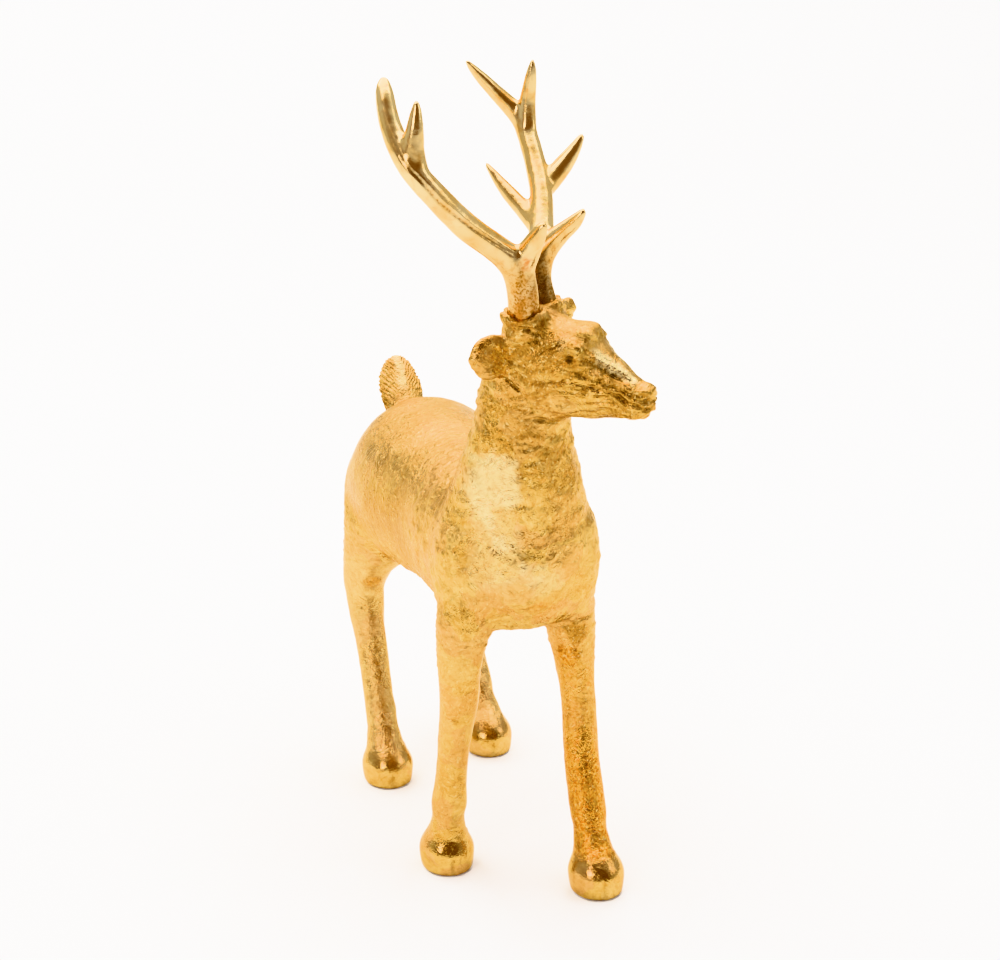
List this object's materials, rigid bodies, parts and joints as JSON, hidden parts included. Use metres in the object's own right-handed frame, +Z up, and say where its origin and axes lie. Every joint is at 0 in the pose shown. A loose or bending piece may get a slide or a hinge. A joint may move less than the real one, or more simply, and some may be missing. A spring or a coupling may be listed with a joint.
{
  "type": "deer figurine",
  "caption": "Standing stag figurine in gilded ceramic, head turned to its left, with separately moulded branching antlers set in sockets in the crown.",
  "frame": {"origin": "on the standing surface, under the middle of the figurine's bounding box", "axes": "+Z up, the body faces -Y and its own left side is at +X"},
  "size_m": [0.1114, 0.2458, 0.3713],
  "materials": {
    "gilt_body": "gold leaf over ceramic, crinkled and finely grained, satin",
    "gilt_antler": "smooth gilt, semi gloss"
  },
  "bodies": {
    "root": {"deer_body": "gilt_body", "antler_right": "gilt_antler", "antler_left": "gilt_antler"}
  },
  "joints": []
}
